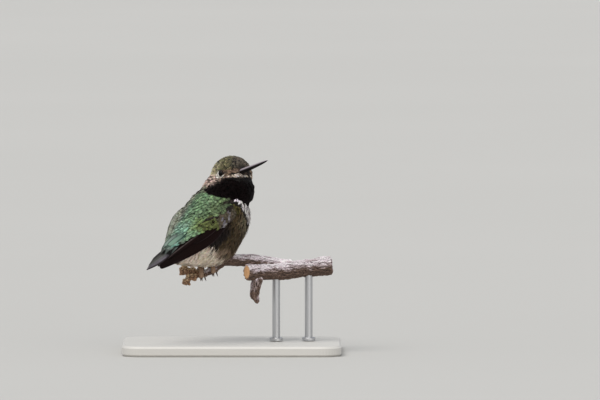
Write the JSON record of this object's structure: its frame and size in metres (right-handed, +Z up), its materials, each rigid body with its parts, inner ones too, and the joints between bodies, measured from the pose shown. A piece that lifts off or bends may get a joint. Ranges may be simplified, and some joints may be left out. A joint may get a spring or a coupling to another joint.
{
  "type": "broad-tailed hummingbird model",
  "caption": "Life-size still model of a perched male hummingbird, head turned back over its shoulder, on a short cut branch held by a plain flat base and rods.",
  "frame": {"origin": "middle of the underside of the stand's base", "axes": "+Z up; +X along the base's long side, the way the branch runs from the bird to its thick cut end; the bird's back and tail are towards -Y"},
  "size_m": [0.084, 0.062, 0.0752],
  "materials": {
    "crown_feathers": "fine scaly contour feathers, soft sheen",
    "gorget_feathers": "dense scale-like feathers, dark with a slight purple sheen",
    "back_feathers": "iridescent green contour feathers",
    "body_feathers": "loose dusky olive-buff feathers, matt",
    "vent_feathers": "fluffy pale buff feathers, matt",
    "wing_feathers": "smooth flight vanes with a slight sheen",
    "tail_feathers": "smooth slate and green vanes with a slight sheen",
    "eye": "wet and glossy",
    "bill": "horn, satin",
    "foot": "scaly skin and horn claws",
    "bark": "weathered bark, rough, with cut wood at its ends",
    "stand_base": "smooth pale satin paint",
    "stand_rod": "brushed"
  },
  "bodies": {
    "root": {"head": "crown_feathers", "throat": "gorget_feathers", "neck": "crown_feathers", "trunk": "body_feathers", "rump": "back_feathers", "vent": "vent_feathers", "tail": "tail_feathers", "wing_right": "wing_feathers", "wing_left": "wing_feathers", "eye_right": "eye", "eye_left": "eye", "bill_upper": "bill", "bill_lower": "bill", "leg_right": "foot", "leg_left": "foot", "perch_bough": "bark", "perch_limb": "bark", "perch_twig": "bark", "stand_base": "stand_base", "stand_rod_1": "stand_rod", "stand_rod_2": "stand_rod"}
  },
  "joints": []
}
